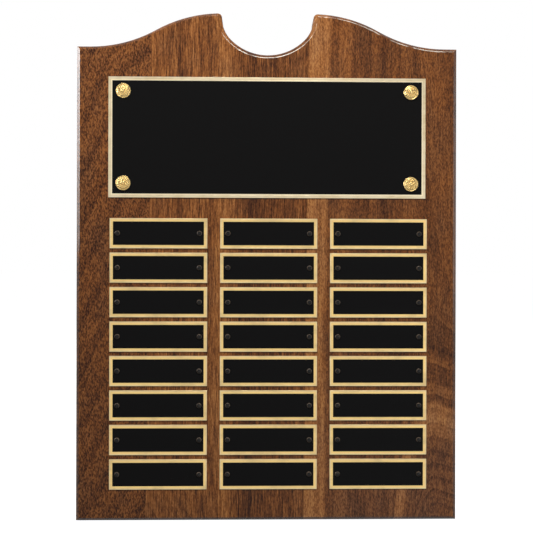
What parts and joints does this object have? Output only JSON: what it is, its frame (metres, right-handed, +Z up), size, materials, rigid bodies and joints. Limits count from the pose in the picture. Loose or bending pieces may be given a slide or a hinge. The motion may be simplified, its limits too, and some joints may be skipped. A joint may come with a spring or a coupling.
{
  "type": "wooden plaque",
  "caption": "Walnut wall plaque with a scrolled, notched top, a black and brass header plate held by rosettes, and pinned columns of black and brass nameplates.",
  "frame": {"origin": "middle of the board's back face, which lies against the wall", "axes": "+X to the right seen from the front, +Z up, and the front faces -Y"},
  "size_m": [0.3048, 0.0224, 0.4063],
  "materials": {
    "walnut": "satin lacquered walnut",
    "satin_brass": "satin brushed brass",
    "black_enamel": "satin black baked enamel",
    "black_pins": "black lacquered pin heads",
    "polished_brass": "polished brass",
    "zinc_steel": "zinc-plated steel"
  },
  "bodies": {
    "root": {"board_left_stave": "walnut", "board_middle_stave": "walnut", "board_right_stave": "walnut", "header_plate": "satin_brass", "nameplate_row1_column1": "satin_brass", "nameplate_row1_column2": "satin_brass", "nameplate_row1_column3": "satin_brass", "nameplate_row2_column1": "satin_brass", "nameplate_row2_column2": "satin_brass", "nameplate_row2_column3": "satin_brass", "nameplate_row3_column1": "satin_brass", "nameplate_row3_column2": "satin_brass", "nameplate_row3_column3": "satin_brass", "nameplate_row4_column1": "satin_brass", "nameplate_row4_column2": "satin_brass", "nameplate_row4_column3": "satin_brass", "nameplate_row5_column1": "satin_brass", "nameplate_row5_column2": "satin_brass", "nameplate_row5_column3": "satin_brass", "nameplate_row6_column1": "satin_brass", "nameplate_row6_column2": "satin_brass", "nameplate_row6_column3": "satin_brass", "nameplate_row7_column1": "satin_brass", "nameplate_row7_column2": "satin_brass", "nameplate_row7_column3": "satin_brass", "nameplate_row8_column1": "satin_brass", "nameplate_row8_column2": "satin_brass", "nameplate_row8_column3": "satin_brass", "header_enamel": "black_enamel", "nameplate_enamel": "black_enamel", "nameplate_pins": "black_pins", "header_rosettes": "polished_brass", "header_nails": "polished_brass", "keyhole_hanger": "zinc_steel", "hanger_screws": "zinc_steel"}
  },
  "joints": []
}
